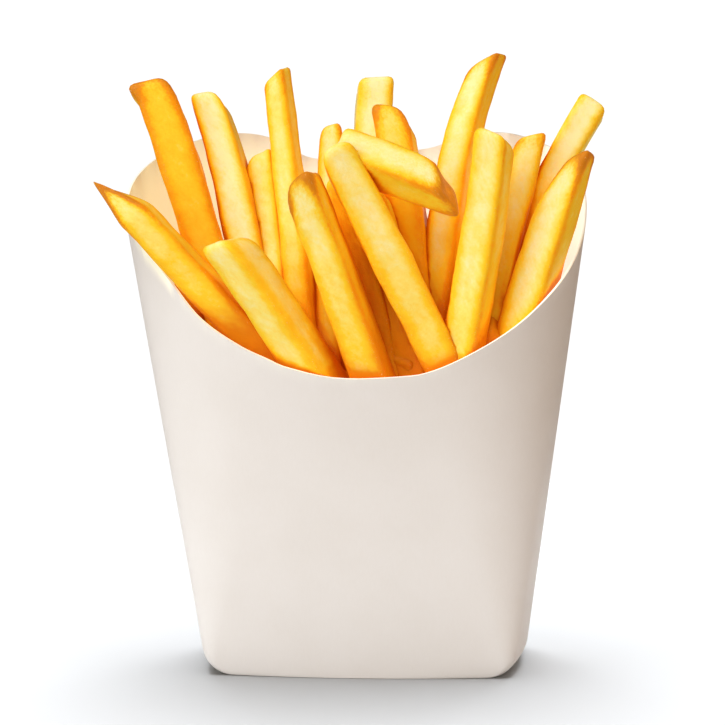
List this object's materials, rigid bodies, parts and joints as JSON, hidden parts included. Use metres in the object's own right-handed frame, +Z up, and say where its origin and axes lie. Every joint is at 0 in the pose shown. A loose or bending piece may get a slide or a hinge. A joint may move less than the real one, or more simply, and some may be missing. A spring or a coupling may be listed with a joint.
{
  "type": "french fries in a paperboard carton",
  "caption": "French fries standing in a plain white paperboard scoop carton with a low curved front and a taller back.",
  "frame": {"origin": "middle of the flat underside of the carton", "axes": "+Z up along the carton's height, -Y out of the low scooped front, +X to the right as seen from the front"},
  "size_m": [0.1094, 0.0562, 0.1358],
  "materials": {
    "paperboard": "smooth uncoated warm white paperboard with a faint sheen",
    "fried_potato": "golden fried potato, paler on the faces, amber at the sides and browned at the tips"
  },
  "bodies": {
    "root": {"carton": "paperboard", "fries": "fried_potato"}
  },
  "joints": []
}
